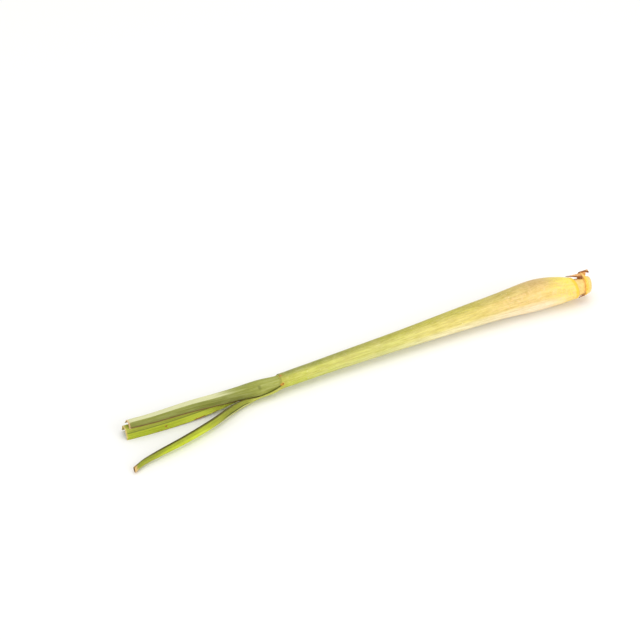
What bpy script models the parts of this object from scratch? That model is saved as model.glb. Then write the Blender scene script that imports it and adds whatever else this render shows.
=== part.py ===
"""One stalk of lemongrass, cut above its collars and laid on its side.

Run with: blender --background --python part.py

The stalk lies along X with its root end at +X and its cut blades at -X, and it rests on z = 0.
Five pieces make it, as they grew: the hard stem base at the root end, the torn dry husk of an older
leaf round it, and three leaves, each one rolled inside the one before it.
Lengths are in metres. Angles are in degrees.
"""

import math

import bmesh
import bpy
from mathutils import Vector

# Driving sizes
LENGTH = 0.357  # root end to the tip of the longest cut blade
BULB_RADIUS = 0.0112  # the swelling near the root end
NECK_RADIUS = 0.0053  # the outer leaf's sheath at its collar
STEM_RADIUS = 0.0063  # the hard stem base
THICKNESS = 0.0007  # blades, husk, and the sheaths where they are seen edge on
GAP = 0.00035  # between pieces that touch on the real stalk

# Distances from the root end, along the stalk
RING_AT = 0.0048  # the ring scar round the stem base
SHEATH_FROM = 0.0136  # where the outer leaf grows from the stem base
COLLAR_AT = 0.2430  # where the outer leaf's sheath stops and its blade turns away
SECOND_COLLAR_AT = 0.2590  # the same on the second leaf
THROAT_DEPTH = 0.0200  # how far the inner leaves are modelled inside the sheath
STEM_PLUG = 0.0060  # how far the stem base reaches inside the sheath

BASE_SLANT = 6  # the outer leaf's lower edge runs round the stem at this slant
STEM_LEAN = 10  # the stem base's end and ring are set back on the near side, beside its bend
HUSK_LEAN = 16  # and so is the husk's ring
KEEL = -42  # where the outer leaf's midrib stands round the stalk, from straight below
STALK_SIDES = 36
FOLDING = 0.0150  # length over which a rolled blade turns into a creased one
ACROSS = 7  # columns of faces in each half of a blade
ALONG = 0.0040  # length of a blade's rows of faces

# The stalk's middle line: distance from the root end, y, z. It bows a little and sinks to the cut end.
AXIS = (
    (0.0000, 0.0052, 0.0104),
    (0.0130, 0.0063, 0.0104),
    (0.0240, 0.0085, 0.0108),
    (0.0440, 0.0109, 0.0110),
    (0.0890, 0.0121, 0.0101),
    (0.1490, 0.0119, 0.0088),
    (0.2000, 0.0118, 0.0077),
    (0.2440, 0.0109, 0.0071),
    (0.2640, 0.0109, 0.0070),
)
# The outer sheath's radius as a share of the bulb's, from the stem base to the collar.
SHEATH_RADII = (
    (0.0090, 0.600),
    (0.0155, 0.715),
    (0.0220, 0.830),
    (0.0300, 0.935),
    (0.0390, 0.995),
    (0.0450, 1.000),
    (0.0500, 0.985),
    (0.0570, 0.935),
    (0.0650, 0.878),
    (0.0730, 0.833),
    (0.0840, 0.790),
    (0.0960, 0.755),
    (0.1210, 0.675),
    (0.1510, 0.585),
    (0.1700, 0.548),
    (0.1890, 0.517),
    (0.2120, 0.479),
    (0.2370, 0.466),
    (0.2430, 0.473),
)


def along(distance):
    """x of a place that far from the root end."""
    return LENGTH / 2 - distance


def smooth(table, at):
    """The table's other columns at a distance, on a smooth curve through its rows."""
    rows = [table[0], *table, table[-1]]
    i = 1
    while i < len(rows) - 3 and at > rows[i + 1][0]:
        i += 1
    low, high = rows[i][0], rows[i + 1][0]
    t = min(1.0, max(0.0, (at - low) / (high - low)))
    found = []
    for column in range(1, len(table[0])):
        before, first, last, after = (row[column] for row in rows[i - 1 : i + 3])
        rise_in = (last - before) * (high - low) / (high - rows[i - 1][0])
        rise_out = (after - first) * (high - low) / (rows[i + 2][0] - low)
        found.append(
            first * (2 * t**3 - 3 * t**2 + 1)
            + rise_in * (t**3 - 2 * t**2 + t)
            + last * (3 * t**2 - 2 * t**3)
            + rise_out * (t**3 - t**2)
        )
    return found


def axis_point(distance):
    y, z = smooth(AXIS, distance)
    return Vector((along(distance), y, z))


def sheath_radius(distance):
    return smooth(SHEATH_RADII, distance)[0] * BULB_RADIUS


def steps(start, end, step):
    count = max(1, round((end - start) / step))
    return [start + (end - start) * i / count for i in range(count + 1)]


def set_back(place, lean):
    """A place round the root end, moved along the stalk: the near side back, the far side out."""
    distance = LENGTH / 2 - place.x
    share = min(1.0, max(0.0, (SHEATH_FROM - distance) / 0.0040))
    out = share * math.tan(math.radians(lean)) * (place.y - axis_point(distance).y)
    return place + Vector((out, 0, 0))


def bump(angle, centre, half_width):
    """1 at the centre, falling smoothly to 0 at the half width, both round the stalk."""
    off = abs((angle - centre + 180) % 360 - 180) / half_width
    return (1 + math.cos(math.pi * off)) / 2 if off < 1 else 0.0


def skin(name, colour, roughness):
    material = bpy.data.materials.new(name)
    material.use_nodes = True
    surface = material.node_tree.nodes["Principled BSDF"]
    surface.inputs["Base Color"].default_value = (*colour, 1.0)
    surface.inputs["Roughness"].default_value = roughness
    material.diffuse_color = (*colour, 1.0)
    return material


def put(obj, collection, material=None):
    collection.objects.link(obj)
    if material:
        obj.data.materials.append(material)
    else:
        obj.hide_render = True
        obj.display_type = "WIRE"
    return obj


def round_bar(name, places, sides=STALK_SIDES):
    """A round bar along the stalk's middle line, closed at its ends, from rows of distance and radius."""
    curve = bpy.data.curves.new(name, "CURVE")
    curve.dimensions = "3D"
    curve.bevel_depth = 1.0
    curve.bevel_resolution = sides // 2 - 2
    curve.use_fill_caps = True
    spline = curve.splines.new("POLY")
    spline.points.add(len(places) - 1)
    for point, (distance, radius) in zip(spline.points, places):
        point.co = (*axis_point(distance), 1.0)
        point.radius = radius
    drawn = bpy.data.objects.new(name + "_line", curve)
    bpy.context.scene.collection.objects.link(drawn)
    graph = bpy.context.evaluated_depsgraph_get()
    mesh = bpy.data.meshes.new_from_object(drawn.evaluated_get(graph))
    bpy.data.objects.remove(drawn)
    mesh.name = name
    shape = bmesh.new()
    shape.from_mesh(mesh)
    bmesh.ops.remove_doubles(shape, verts=shape.verts, dist=1e-6)
    bmesh.ops.recalc_face_normals(shape, faces=shape.faces)
    shape.to_mesh(mesh)
    shape.free()
    return bpy.data.objects.new(name, mesh)


def sheet(name, columns, rows, place, thickness=THICKNESS, closed=False):
    """A grid of faces with each corner put where place(column, row) says, then made thick."""
    mesh = bpy.data.meshes.new(name)
    grid = bmesh.new()
    bmesh.ops.create_grid(grid, x_segments=columns, y_segments=rows, size=1.0)
    for vert in grid.verts:
        column = round((vert.co.x + 1) / 2 * columns)
        row = round((vert.co.y + 1) / 2 * rows)
        vert.co = place(column, row)
    if closed:
        bmesh.ops.remove_doubles(grid, verts=grid.verts, dist=1e-6)
    bmesh.ops.recalc_face_normals(grid, faces=grid.faces)
    grid.to_mesh(mesh)
    grid.free()
    obj = bpy.data.objects.new(name, mesh)
    thick = obj.modifiers.new("thickness", "SOLIDIFY")
    thick.thickness = thickness
    thick.offset = 0.0
    thick.use_even_offset = True
    return obj


def wing(width, inner, outer, fold, crease):
    """One half of a blade's section, from the midrib outwards, as (sideways, downwards) corners. It
    slopes down by inner degrees at the midrib and by outer degrees at the margin. With fold at 0 the
    slope changes evenly, as in a roll. With fold at 1 it changes in a crease part way across."""
    side, down = 0.0, 0.0
    corners = [(side, down)]
    parts = 10
    for i in range(ACROSS * parts):
        t = (i + 0.5) / (ACROSS * parts)
        step = min(1.0, max(0.0, (t - crease) / 0.2 + 0.5))
        turn = (1 - fold) * t + fold * step
        slope = math.radians(inner + (outer - inner) * turn)
        side += math.cos(slope) * width / (ACROSS * parts)
        down += math.sin(slope) * width / (ACROSS * parts)
        if (i + 1) % parts == 0:
            corners.append((side, down))
    return corners


def wrapped(distance, radius, near, far):
    """A row of a blade where it still wraps the stalk, with its midrib at the keel."""
    centre = axis_point(distance)
    turn = math.degrees(1 / radius)
    y = centre.y + radius * math.sin(math.radians(KEEL))
    z = centre.z - radius * math.cos(math.radians(KEEL))
    return (distance, y, z, near, KEEL, KEEL - turn * near, far, -KEEL, -KEEL - turn * far)


def blade(name, rows, folded_at, crease):
    """A leaf blade. Each row holds a distance from the root end, the midrib's y and z, and for the near
    half and the far half its width, its slope at the midrib and its slope at the margin. It is rolled at
    its base and creased from folded_at onwards, counted from the root end too."""
    distances = steps(rows[0][0], rows[-1][0], ALONG)

    def place(column, row):
        distance = distances[column]
        y, z, *halves = smooth(rows, distance)
        fold = min(1.0, max(0.0, 1 - (folded_at - distance) / FOLDING))
        line = row - ACROSS
        half = halves[:3] if line < 0 else halves[3:]
        side, down = wing(*half, fold, crease)[abs(line)]
        return Vector((along(distance), y + math.copysign(side, line), z - down))

    return sheet(name, len(distances) - 1, 2 * ACROSS, place)


def change(obj, other, operation):
    step = obj.modifiers.new(other.name, "BOOLEAN")
    step.operation = operation
    step.object = other
    step.solver = "EXACT"


for old in list(bpy.data.objects):
    bpy.data.objects.remove(old)

stalk = bpy.data.collections.new("lemongrass_stalk")
helpers = bpy.data.collections.new("cutters")
for group in (stalk, helpers):
    bpy.context.scene.collection.children.link(group)
helpers.hide_render = True

pale_stem = skin("stem_base", (0.90, 0.66, 0.34), 0.6)
dry_brown = skin("dry_husk", (0.50, 0.27, 0.09), 0.8)
pale_green = skin("sheath", (0.80, 0.74, 0.36), 0.45)
dull_green = skin("second_blade", (0.32, 0.36, 0.12), 0.5)
young_green = skin("third_blade", (0.46, 0.56, 0.09), 0.5)

# The surface that the stalk lies on. It cuts small flats where the bulb and the blades touch it.
ground_mesh = bpy.data.meshes.new("ground")
block = bmesh.new()
bmesh.ops.create_cube(block, size=1.0)
bmesh.ops.scale(block, vec=(1.0, 0.3, 0.02), verts=block.verts)
bmesh.ops.translate(block, vec=(0, 0, -0.01), verts=block.verts)
block.to_mesh(ground_mesh)
block.free()
ground = put(bpy.data.objects.new("ground", ground_mesh), helpers)

# --- Stem base: a short hard stub with a domed cut end and a ring scar. ---
STEM_SHARES = (
    (0.0006, 0.60),
    (0.0010, 0.83),
    (0.0018, 0.96),
    (RING_AT - 0.0014, 1.02),
    (RING_AT - 0.0006, 1.08),
    (RING_AT + 0.0005, 1.09),
    (RING_AT + 0.0012, 1.01),
    (0.0080, 0.99),
    (0.0110, 1.00),
    (SHEATH_FROM, 1.00),
    (SHEATH_FROM + STEM_PLUG, 0.98),
)
stem_places = [(d, share * STEM_RADIUS) for d, share in STEM_SHARES]
stem_base = put(round_bar("stem_base", stem_places), stalk, pale_stem)
for corner in stem_base.data.vertices:
    corner.co = set_back(corner.co, STEM_LEAN)

# --- Husk: a torn dry ring on the stem base, with a cap curled out over the end, a long flake
#     lying back over the bulb and a small one underneath. The cap and the flake stand off the stem like
#     a roof on the far side. Angles run from straight up to the far side. ---
ROOF_ANGLE, ROOF_SPREAD, ROOF_RADIUS = 48, 58, 0.0091
CAP_ANGLE, CAP_SPREAD, CAP_LENGTH, CAP_RISE = 36, 50, 0.0050, 0.0014
FLAKE_ANGLE, FLAKE_SPREAD, FLAKE_LENGTH = 35, 44, 0.0099
FLECK_ANGLE, FLECK_SPREAD, FLECK_LENGTH = -132, 24, 0.0048
HUSK_AT, HUSK_WIDTH, HUSK_ROWS = 0.0067, 0.0009, 8


def husk_place(column, row):
    angle = 360 * column / STALK_SIDES
    cap = bump(angle, CAP_ANGLE, CAP_SPREAD)
    start = HUSK_AT - CAP_LENGTH * cap
    end = HUSK_AT + HUSK_WIDTH + FLAKE_LENGTH * bump(angle, FLAKE_ANGLE, FLAKE_SPREAD)
    end += FLECK_LENGTH * bump(angle, FLECK_ANGLE, FLECK_SPREAD)
    distance = start + (end - start) * row / HUSK_ROWS
    under = max(1.01 * STEM_RADIUS, sheath_radius(distance) + 0.0004) + GAP + THICKNESS / 2
    roof = max(0.0, ROOF_RADIUS - under) * bump(angle, ROOF_ANGLE, ROOF_SPREAD)
    roof += CAP_RISE * cap * max(0.0, (HUSK_AT - distance) / CAP_LENGTH)
    centre = axis_point(distance)
    turn = math.radians(angle)
    out = Vector((0, math.sin(turn), math.cos(turn)))
    return set_back(centre + (under + roof) * out, HUSK_LEAN)


husk = put(sheet("husk", STALK_SIDES, HUSK_ROWS, husk_place, closed=True), stalk, dry_brown)

# --- Outer leaf: a sheath rolled round the whole stalk, which opens into a blade folded along its keel. ---
sheath_places = [(d, sheath_radius(d)) for d in steps(0.0090, COLLAR_AT, 0.0052)]
outer_leaf = put(round_bar("outer_leaf", sheath_places), stalk, pale_green)
slanted = bmesh.new()
slanted.from_mesh(outer_leaf.data)
slant = Vector((math.cos(math.radians(BASE_SLANT)), 0, math.sin(math.radians(BASE_SLANT))))
bmesh.ops.bisect_plane(
    slanted,
    geom=slanted.verts[:] + slanted.edges[:] + slanted.faces[:],
    plane_co=axis_point(SHEATH_FROM),
    plane_no=slant,
    clear_outer=True,
)
bmesh.ops.holes_fill(slanted, edges=[e for e in slanted.edges if e.is_boundary], sides=0)
slanted.to_mesh(outer_leaf.data)
slanted.free()

stem_socket = put(
    round_bar(
        "stem_socket",
        [
            (0.0060, STEM_RADIUS + GAP),
            (SHEATH_FROM, STEM_RADIUS + GAP),
            (SHEATH_FROM + STEM_PLUG + GAP, STEM_RADIUS + GAP),
        ],
    ),
    helpers,
)
bore = NECK_RADIUS - THICKNESS
throat_places = [(d, bore) for d in steps(COLLAR_AT - THROAT_DEPTH, COLLAR_AT + 0.004, 0.006)]
throat = put(round_bar("throat", throat_places), helpers)

second_radius = bore - 1.3 * GAP
second_flare = (
    (COLLAR_AT - THROAT_DEPTH + GAP, second_radius),
    (COLLAR_AT - 0.0010, second_radius),
    (COLLAR_AT + 0.0060, 0.0048),
    (COLLAR_AT + 0.0130, 0.0055),
    (COLLAR_AT + 0.0200, 0.0056),
)
# What the outer blade must clear: the second leaf's sheath, the gap and half of its own thickness.
round_second = GAP + THICKNESS / 2
OUTER_BLADE = (
    wrapped(COLLAR_AT - 0.0016, NECK_RADIUS - THICKNESS / 2, 0.0080, 0.0090),
    wrapped(COLLAR_AT + 0.0014, NECK_RADIUS + THICKNESS / 4, 0.0052, 0.0088),
    wrapped(0.2490, 0.0055 + round_second, 0.0046, 0.0085),
    wrapped(SECOND_COLLAR_AT + 0.0015, 0.0058 + round_second, 0.0036, 0.0080),
    (0.2705, 0.0050, 0.0009, 0.0070, -60, -102, 0.0045, -5, -22),
    (0.2760, 0.0034, 0.0008, 0.0084, -58, -102, 0.0048, -40, -60),
    (0.2830, 0.0011, 0.0006, 0.0098, -55, -100, 0.0068, -76, -82),
    (0.2990, -0.0049, 0.0005, 0.0097, -52, -98, 0.0072, -78, -88),
    (0.3190, -0.0104, 0.0005, 0.0086, -52, -97, 0.0066, -76, -90),
    (0.3390, -0.0143, 0.0004, 0.0069, -54, -97, 0.0056, -74, -94),
    (0.3565, -0.0200, 0.0003, 0.0054, -50, -108, 0.0050, -60, -108),
)
outer_blade = put(blade("outer_blade", OUTER_BLADE, 0.278, 0.4), helpers)
change(outer_leaf, stem_socket, "DIFFERENCE")
change(outer_leaf, throat, "DIFFERENCE")
change(outer_leaf, outer_blade, "UNION")
change(outer_leaf, ground, "DIFFERENCE")

# --- Second leaf: its sheath stands in the outer one, and its blade arches over with a crease on top. ---
second_from = COLLAR_AT - THROAT_DEPTH + GAP
second_places = [(d, smooth(second_flare, d)[0]) for d in steps(second_from, SECOND_COLLAR_AT, 0.004)]
second_leaf = put(round_bar("second_leaf", second_places), stalk, dull_green)
second_bore = [(d, smooth(second_flare, d)[0] - THICKNESS) for d in steps(0.2370, 0.2630, 0.004)]
second_throat = put(round_bar("second_throat", second_bore), helpers)
SECOND_BLADE = (
    (0.2550, 0.0082, 0.0117, 0.0088, 34, 122, 0.0138, -26, 122),
    (0.2610, 0.0083, 0.0119, 0.0082, 40, 112, 0.0136, -24, 114),
    (0.2710, 0.0083, 0.0123, 0.0072, 52, 94, 0.0130, -16, 96),
    (0.2840, 0.0086, 0.0122, 0.0060, 60, 80, 0.0125, -6, 78),
    (0.3060, 0.0103, 0.0122, 0.0053, 64, 72, 0.0115, 0, 64),
    (0.3320, 0.0106, 0.0121, 0.0044, 64, 70, 0.0108, 4, 58),
    (0.3480, 0.0117, 0.0120, 0.0039, 64, 70, 0.0102, 4, 55),
)
second_blade = put(blade("second_blade", SECOND_BLADE, 0.284, 0.36), helpers)
change(second_leaf, second_throat, "DIFFERENCE")
change(second_leaf, second_blade, "UNION")

# --- Third leaf: the youngest, standing in the second one, with both halves hanging to the ground. ---
third_places = [(d, second_radius - THICKNESS - 1.3 * GAP) for d in steps(0.2370 + GAP, 0.2690, 0.004)]
third_leaf = put(round_bar("third_leaf", third_places, 24), stalk, young_green)
THIRD_BLADE = (
    (0.2590, 0.0108, 0.0088, 0.0030, 20, 100, 0.0030, 20, 100),
    (0.2710, 0.0107, 0.0086, 0.0052, 50, 96, 0.0046, 12, 90),
    (0.2890, 0.0107, 0.0085, 0.0072, 58, 76, 0.0066, 8, 80),
    (0.3080, 0.0107, 0.0082, 0.0082, 60, 72, 0.0088, 8, 76),
    (0.3320, 0.0112, 0.0078, 0.0084, 62, 76, 0.0100, 8, 72),
    (0.3505, 0.0126, 0.0074, 0.0081, 62, 76, 0.0103, 8, 68),
)
third_blade = put(blade("third_blade", THIRD_BLADE, 0.289, 0.42), helpers)
change(third_leaf, third_blade, "UNION")
change(third_leaf, ground, "DIFFERENCE")

for piece in stalk.objects:
    piece.data.shade_smooth()
    piece.data.set_sharp_from_angle(angle=math.radians(40))
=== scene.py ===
"""One stalk of lemongrass, laid on a pale surface with its root end at +X and its cut blades at -X.

The sections follow the stalk from its foot outwards: the stem base and its root buds, the torn dry
husk, then the three leaves from the outer one in, with the outer one's papery ligule, and last the
surface, the light and the camera.
Lengths are in metres and angles in degrees. Distances run along the stalk from its root end.
"""

import math
import random

import bmesh
import bpy
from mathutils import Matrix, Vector


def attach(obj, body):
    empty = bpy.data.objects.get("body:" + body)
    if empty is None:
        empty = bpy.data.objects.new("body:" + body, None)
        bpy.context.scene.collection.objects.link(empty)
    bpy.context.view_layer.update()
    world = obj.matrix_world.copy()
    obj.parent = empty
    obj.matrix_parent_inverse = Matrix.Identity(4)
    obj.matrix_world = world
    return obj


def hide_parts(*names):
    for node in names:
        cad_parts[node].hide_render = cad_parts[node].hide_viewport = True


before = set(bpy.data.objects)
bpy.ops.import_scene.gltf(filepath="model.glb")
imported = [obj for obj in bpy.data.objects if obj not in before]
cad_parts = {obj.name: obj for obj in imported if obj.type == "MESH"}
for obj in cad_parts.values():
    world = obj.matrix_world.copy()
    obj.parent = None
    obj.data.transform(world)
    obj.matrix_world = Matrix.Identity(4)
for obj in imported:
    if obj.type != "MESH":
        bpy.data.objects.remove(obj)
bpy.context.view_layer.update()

# --- Stem base ---
# The hard solid foot of the stalk, sawn through just under its lowest ring. It is pale packed
# fibre, waxy where older leaves have come off and drier at the cut, and it stands inside the outer
# sheath.
LENGTH = 0.357
STEM_RADIUS = 0.0063
RING_AT = 0.0048
SHEATH_FROM = 0.0136
STEM_PLUG = 0.0060  # how far it stands inside the sheath
STEM_SIDES = 60
STEM_LEAN = 16  # the near side of the foot is set back, beside the bend in it
LEAN_OVER = 0.0050  # the length over which that lean dies away, towards the sheath
# The ring's scale, on the far side: where it stands, and the radius that it is pulled out from.
SCALE_ANGLE, SCALE_FROM, SCALE_TO, SCALE_RADIUS = 138, 0.0040, 0.0068, 1.03 * STEM_RADIUS
SAME = 0.00002  # corners closer than this along the stalk stand in one ring
ROUND = 0.008  # radius of the circle on which the grain keeps its place round the stalk
STEM_SHARES = (  # distance, share of the stem's radius
    (0.0010, 0.86),
    (0.0013, 0.91),
    (0.0020, 0.965),
    (0.0030, 1.00),
    (0.0037, 1.02),
    (0.0041, 1.06),
    (0.0046, 1.09),
    (0.0051, 1.095),
    (0.0056, 1.05),
    (0.0061, 1.00),
    (0.0070, 0.985),
    (0.0085, 0.985),
    (0.0105, 0.995),
    (SHEATH_FROM, 1.00),
    (SHEATH_FROM + STEM_PLUG, 0.98),
)
# The stalk's middle line: distance, y, z. It bows a little and sinks to the cut end.
AXIS = (
    (0.0000, 0.0052, 0.0104),
    (0.0130, 0.0063, 0.0104),
    (0.0240, 0.0085, 0.0108),
    (0.0440, 0.0109, 0.0110),
    (0.0890, 0.0121, 0.0101),
    (0.1490, 0.0119, 0.0088),
    (0.2000, 0.0118, 0.0077),
    (0.2440, 0.0109, 0.0071),
    (0.2640, 0.0109, 0.0070),
)


def along(distance):
    """x of a place that far from the root end, or the distance of a place with that x."""
    return LENGTH / 2 - distance


def smooth(table, at):
    """The table's other columns at a distance, on a smooth curve through its rows."""
    rows = [table[0], *table, table[-1]]
    i = 1
    while i < len(rows) - 3 and at > rows[i + 1][0]:
        i += 1
    low, high = rows[i][0], rows[i + 1][0]
    t = min(1.0, max(0.0, (at - low) / (high - low)))
    found = []
    for column in range(1, len(table[0])):
        before, first, last, after = (row[column] for row in rows[i - 1 : i + 3])
        rise_in = (last - before) * (high - low) / (high - rows[i - 1][0])
        rise_out = (after - first) * (high - low) / (rows[i + 2][0] - low)
        found.append(
            first * (2 * t**3 - 3 * t**2 + 1)
            + rise_in * (t**3 - 2 * t**2 + t)
            + last * (3 * t**2 - 2 * t**3)
            + rise_out * (t**3 - t**2)
        )
    return found


def axis_point(distance):
    return Vector((along(distance), *smooth(AXIS, distance)))


def outward(angle):
    """The direction away from the stalk's middle, with the angle counted from straight below."""
    return Vector((0, math.sin(math.radians(angle)), -math.cos(math.radians(angle))))


def around(at):
    """A place's distance along the stalk, and its angle round it from straight below."""
    distance = along(at.x)
    middle = axis_point(distance)
    return distance, math.degrees(math.atan2(at.y - middle.y, middle.z - at.z))


def set_back(distance):
    """How far a place round the root end is set back, for each metre it stands to the near side."""
    share = min(1.0, max(0.0, (SHEATH_FROM - distance) / LEAN_OVER))
    return share * math.tan(math.radians(STEM_LEAN))


def clear():
    """Leaves edit mode with nothing selected, so that the next primitive is alone."""
    if bpy.context.object and bpy.context.object.mode == "EDIT":
        bpy.ops.object.mode_set(mode="OBJECT")
    bpy.ops.object.select_all(action="DESELECT")


def pick(piece, *others):
    """Selects the pieces and no others, and makes the first one active."""
    clear()
    for one in (piece, *others):
        one.select_set(True)
    bpy.context.view_layer.objects.active = piece


def edit(name=None):
    """Opens the active piece for editing by its corners, named first if it is new."""
    piece = bpy.context.object
    if name:
        piece.name = piece.data.name = name
    bpy.ops.object.mode_set(mode="EDIT")
    bpy.ops.mesh.select_mode(type="VERT")
    return piece


def choose(rule=lambda at: True):
    """Selects the corners for which the rule holds, and no others, or all of them."""
    shape = bmesh.from_edit_mesh(bpy.context.object.data)
    for corner in shape.verts:
        corner.select = bool(rule(corner.co))
    shape.select_flush_mode()


def hold(corners, held=True):
    """Adds the corners to those that are chosen, or lets them go."""
    for corner in corners:
        corner.select = held


def draw_in(share, middle):
    """Draws the chosen corners in or out round a point of the stalk's middle."""
    bpy.ops.transform.resize(value=(1, share, share), center_override=middle)


def shift(by):
    bpy.ops.transform.translate(value=by)


def cut_across(place, facing, **how):
    """Cuts the open piece by a plane, which leaves a ring of corners."""
    choose()
    bpy.ops.mesh.bisect(plane_co=place, plane_no=facing, **how)


def tube(name, places, sides):
    """A round sleeve on the stalk's middle line, from rows of distance and radius: an open cylinder
    cut into rings, then each ring drawn to its radius and moved onto the middle line."""
    clear()
    first, last, radius = places[0][0], places[-1][0], places[0][1]
    bpy.ops.mesh.primitive_cylinder_add(
        vertices=sides,
        radius=radius,
        depth=last - first,
        end_fill_type="NOTHING",
        location=(along((first + last) / 2), 0, 0),
        rotation=(0, math.radians(90), 0),
    )
    bpy.ops.object.transform_apply()
    piece = edit(name)
    for distance, _ in places[1:-1]:
        cut_across((along(distance), 0, 0), (1, 0, 0))
    for distance, wide in places:
        middle = axis_point(distance)
        choose(lambda at: abs(at.x - middle.x) < SAME)
        draw_in(wide / radius, (middle.x, 0, 0))
        shift((0, middle.y, middle.z))
    return piece


def mark(piece, places, name="grain"):
    """Keeps a place for each corner on the mesh, which its material reads. The grain runs with the
    fibres: the distance along the stalk, then the place round it on a circle of one size."""
    held = piece.data.attributes.new(name, "FLOAT_VECTOR", "POINT")
    held.data.foreach_set("vector", [part for place in places for part in place])


def round_grain(piece, keel=0.0, turning=1):
    """The grain of a round piece, counted round it from its keel, one way (1) or back (-1)."""
    clear()
    grain = []
    for corner in piece.data.vertices:
        distance, angle = around(corner.co)
        turned = math.radians(angle - keel)
        grain.append((distance, turning * ROUND * math.sin(turned), ROUND * math.cos(turned)))
    mark(piece, grain)


def finish(piece, *modifiers):
    """Applies the modifiers in turn and smooths all but the sharp edges."""
    pick(piece)
    for kind, settings in modifiers:
        made = piece.modifiers.new(kind.lower(), kind)
        for setting, value in settings.items():
            setattr(made, setting, value)
        bpy.ops.object.modifier_apply(modifier=made.name)
    bpy.ops.object.shade_smooth_by_angle(angle=math.radians(40))


stem_base = tube("stem_base", [(d, share * STEM_RADIUS) for d, share in STEM_SHARES], STEM_SIDES)
# The cut face: its rim is drawn in ring by ring, a little hollow in the middle where the pith has
# shrunk.
foot = along(STEM_SHARES[0][0])
choose(lambda at: abs(at.x - foot) < SAME)
for share, push in (
    (0.90, 0.00022),
    (0.84, 0.0001),
    (0.76, -0.0001),
    (0.62, -0.00006),
    (0.45, -0.0001),
):
    bpy.ops.mesh.extrude_edges_move(TRANSFORM_OT_translate={"value": (push, 0, 0)})
    draw_in(share, (0, *axis_point(0)[1:]))
bpy.ops.mesh.edge_face_add()
bpy.ops.mesh.poke()
# The inner end, hidden in the sheath, is closed too.
plug = along(SHEATH_FROM + STEM_PLUG)
choose(lambda at: abs(at.x - plug) < SAME)
bpy.ops.mesh.edge_face_add()
# The ring's scale stands up on the far side, curled back from the foot: it is pulled out in steps,
# each one narrower than the last.
scale_out = outward(SCALE_ANGLE)
for reach, rise, back in (
    (0.60, 0.0005, 0.0002),
    (0.74, 0.0007, 0.0004),
    (0.86, 0.0007, 0.0006),
    (0.95, 0.0006, 0.0006),
):
    choose(
        lambda at: SCALE_FROM < along(at.x) < SCALE_TO
        and (at - axis_point(RING_AT)).dot(scale_out) > reach * SCALE_RADIUS
    )
    shift(scale_out * rise + Vector((-back, 0, 0)))
round_grain(stem_base)
edit()
# Each ring of corners round the root end is turned so that its near side is set back.
shape = bmesh.from_edit_mesh(stem_base.data)
rings = {}
for corner in shape.verts:
    rings.setdefault(round(corner.co.x, 5), []).append(corner)
for x, ring in rings.items():
    if set_back(along(x)) > 0:
        hold(shape.verts, False)
        hold(ring)
        lean = math.atan(set_back(along(x)))
        bpy.ops.transform.rotate(value=lean, orient_axis="Z", center_override=axis_point(along(x)))
SOFTER = ("SUBSURF", {"levels": 1, "render_levels": 1})
finish(stem_base, SOFTER)


def tint(colour):
    """A colour as a shader takes it, from its red, green and blue of 0 to 255, or what a node gives
    out as it is."""
    if isinstance(colour, bpy.types.NodeSocket):
        return colour
    return (*(((part / 255 + 0.055) / 1.055) ** 2.4 for part in colour), 1.0)


def fill(made, inputs):
    """Links or sets the inputs of a node, in the tree that is open."""
    for socket, value in inputs.items():
        if isinstance(value, bpy.types.NodeSocket):
            tree.links.new(value, made.inputs[socket])
        else:
            made.inputs[socket].default_value = value
    return made


def node(kind, inputs=None, **settings):
    """Adds a shader node to the open tree, with its settings and its inputs."""
    made = tree.nodes.new("ShaderNode" + kind)
    for setting, value in settings.items():
        setattr(made, setting, value)
    return fill(made, inputs or {})


def calc(operation, first, second=0.0):
    return node("Math", {0: first, 1: second}, operation=operation).outputs[0]


def times(first, *others):
    """The product of all of them."""
    for other in others:
        first = calc("MULTIPLY", first, other)
    return first


def between(value, low, high, start=0.0, end=1.0):
    """Start below the low value, end above the high one, and a soft change between them."""
    sockets = {"Value": value, "From Min": low, "From Max": high, "To Min": start, "To Max": end}
    return node("MapRange", sockets, interpolation_type="SMOOTHSTEP").outputs[0]


def fades(value, low, high, left=0.0):
    """1 below the low value, what is left above the high one, and a soft change between them."""
    return between(value, low, high, 1.0, left)


def mix(amount, first, second, blend="MIX"):
    sockets = {0: amount, 6: tint(first), 7: tint(second)}
    return node("Mix", sockets, data_type="RGBA", blend_type=blend).outputs[2]


def layered(colour, *layers):
    """The colour with others laid over it in turn. Each layer is the amounts that it is strong by,
    and then its colour."""
    for *amounts, over in layers:
        colour = mix(times(*amounts), colour, over)
    return colour


def coloured_along(down, *stops, reach=LENGTH):
    """Colours along the stalk as far as the reach, from each stop's distance and its red, green and
    blue."""
    made = node("ValToRGB", {0: calc("DIVIDE", down, reach)})
    made.color_ramp.interpolation = "EASE"
    held = made.color_ramp.elements
    while len(held) < len(stops):
        held.new(0.5)
    for element, (distance, *colour) in zip(held, stops):
        element.position = distance / reach
        element.color = tint(colour)
    return made.outputs[0]


def noise(place, scale, detail=3.0, rough=0.55):
    sockets = {"Vector": place, "Scale": scale, "Detail": detail, "Roughness": rough}
    return node("TexNoise", sockets).outputs["Fac"]


def vectors(operation, first, second):
    return node("VectorMath", {0: first, 1: second}, operation=operation).outputs


def stretched(grain, lengthwise, crosswise):
    """The grain drawn out along the stalk, so that a noise on it becomes streaks."""
    by = node("CombineXYZ", {0: lengthwise, 1: crosswise, 2: crosswise}).outputs[0]
    return vectors("MULTIPLY", grain, by)["Vector"]


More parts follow.
